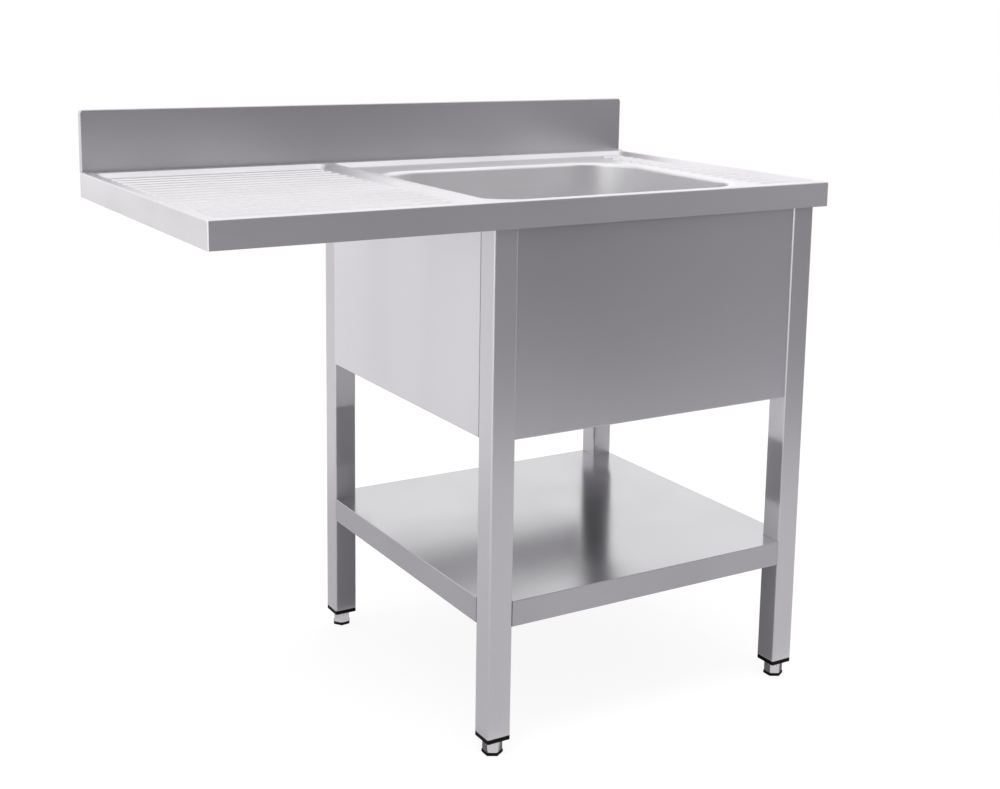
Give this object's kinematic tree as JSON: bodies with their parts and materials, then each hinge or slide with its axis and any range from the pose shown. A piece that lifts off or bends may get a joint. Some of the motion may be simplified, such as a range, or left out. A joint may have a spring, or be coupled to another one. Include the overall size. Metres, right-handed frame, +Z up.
{
  "type": "sink unit",
  "caption": "Free-standing catering sink unit: pressed steel worktop with splashback, deep bowl, drainer over an open machine bay, lower shelf and screw-adjustable feet.",
  "frame": {"origin": "middle of the worktop in plan, on the floor under the feet", "axes": "+X to the right seen from the front, +Y to the rear wall, +Z up"},
  "size_m": [1.05, 0.6, 0.95],
  "materials": {
    "worktop_steel": "satin ground stainless sheet",
    "bowl_steel": "satin drawn stainless sheet",
    "leg_steel": "brushed along its length",
    "panel_steel": "satin ground stainless sheet",
    "shelf_steel": "semi-bright stainless sheet",
    "channel_steel": "mill finish stainless",
    "foot_steel": "turned and brushed",
    "waste_steel": "polished",
    "zinc_steel": "bright zinc",
    "black_plastic": "moulded",
    "seal_rubber": "moulded"
  },
  "bodies": {
    "frame": {"centre_channel": "channel_steel", "front_channel": "channel_steel", "front_panel": "panel_steel", "left_channel": "channel_steel", "left_panel": "panel_steel", "leg_bolts": "zinc_steel", "leg_front_left": "leg_steel", "leg_front_right": "leg_steel", "leg_insert_front_left": "black_plastic", "leg_insert_front_right": "black_plastic", "leg_insert_rear_left": "black_plastic", "leg_insert_rear_right": "black_plastic", "leg_nuts": "zinc_steel", "leg_plate_front_left": "channel_steel", "leg_plate_front_right": "channel_steel", "leg_plate_rear_left": "channel_steel", "leg_plate_rear_right": "channel_steel", "leg_rear_left": "leg_steel", "leg_rear_right": "leg_steel", "lower_shelf": "shelf_steel", "panel_screws": "zinc_steel", "rear_channel": "channel_steel", "right_channel": "channel_steel", "right_panel": "panel_steel", "shelf_channel": "channel_steel", "shelf_screws": "zinc_steel", "sink_bowl": "bowl_steel", "splashback": "worktop_steel", "waste_backnut": "black_plastic", "waste_body": "waste_steel", "waste_lower_seal": "seal_rubber", "waste_upper_seal": "seal_rubber", "worktop": "worktop_steel"},
    "standpipe": {"standpipe": "waste_steel", "standpipe_seal": "seal_rubber"},
    "stud_front_left": {"foot_stud_front_left": "zinc_steel"},
    "foot_front_left": {"foot_sleeve_front_left": "foot_steel", "foot_base_front_left": "black_plastic"},
    "stud_front_right": {"foot_stud_front_right": "zinc_steel"},
    "foot_front_right": {"foot_sleeve_front_right": "foot_steel", "foot_base_front_right": "black_plastic"},
    "stud_rear_left": {"foot_stud_rear_left": "zinc_steel"},
    "foot_rear_left": {"foot_sleeve_rear_left": "foot_steel", "foot_base_rear_left": "black_plastic"},
    "stud_rear_right": {"foot_stud_rear_right": "zinc_steel"},
    "foot_rear_right": {"foot_sleeve_rear_right": "foot_steel", "foot_base_rear_right": "black_plastic"}
  },
  "joints": [
    {"name": "foot_front_left_travel", "type": "slide", "parent": "frame", "child": "stud_front_left", "axis": [0, 0, -1], "range_m": [0, 0.015]},
    {"name": "foot_front_left_turn", "type": "hinge", "parent": "stud_front_left", "child": "foot_front_left", "pos_m": [-0.08, -0.274, 0], "axis": [0, 0, -1], "range_deg": [0, 3600]},
    {"name": "foot_front_right_travel", "type": "slide", "parent": "frame", "child": "stud_front_right", "axis": [0, 0, -1], "range_m": [0, 0.015]},
    {"name": "foot_front_right_turn", "type": "hinge", "parent": "stud_front_right", "child": "foot_front_right", "pos_m": [0.48, -0.274, 0], "axis": [0, 0, -1], "range_deg": [0, 3600]},
    {"name": "foot_rear_left_travel", "type": "slide", "parent": "frame", "child": "stud_rear_left", "axis": [0, 0, -1], "range_m": [0, 0.015]},
    {"name": "foot_rear_left_turn", "type": "hinge", "parent": "stud_rear_left", "child": "foot_rear_left", "pos_m": [-0.08, 0.274, 0], "axis": [0, 0, -1], "range_deg": [0, 3600]},
    {"name": "foot_rear_right_travel", "type": "slide", "parent": "frame", "child": "stud_rear_right", "axis": [0, 0, -1], "range_m": [0, 0.015]},
    {"name": "foot_rear_right_turn", "type": "hinge", "parent": "stud_rear_right", "child": "foot_rear_right", "pos_m": [0.48, 0.274, 0], "axis": [0, 0, -1], "range_deg": [0, 3600]},
    {"name": "standpipe_lift", "type": "slide", "parent": "frame", "child": "standpipe", "axis": [0, 0, 1], "range_m": [0, 0.3]}
  ],
  "couplings": [
    {"joint": "foot_front_left_turn", "follows": "foot_front_left_travel", "rad_per_m": 4188.8},
    {"joint": "foot_front_right_turn", "follows": "foot_front_right_travel", "rad_per_m": 4188.8},
    {"joint": "foot_rear_left_turn", "follows": "foot_rear_left_travel", "rad_per_m": 4188.8},
    {"joint": "foot_rear_right_turn", "follows": "foot_rear_right_travel", "rad_per_m": 4188.8}
  ]
}
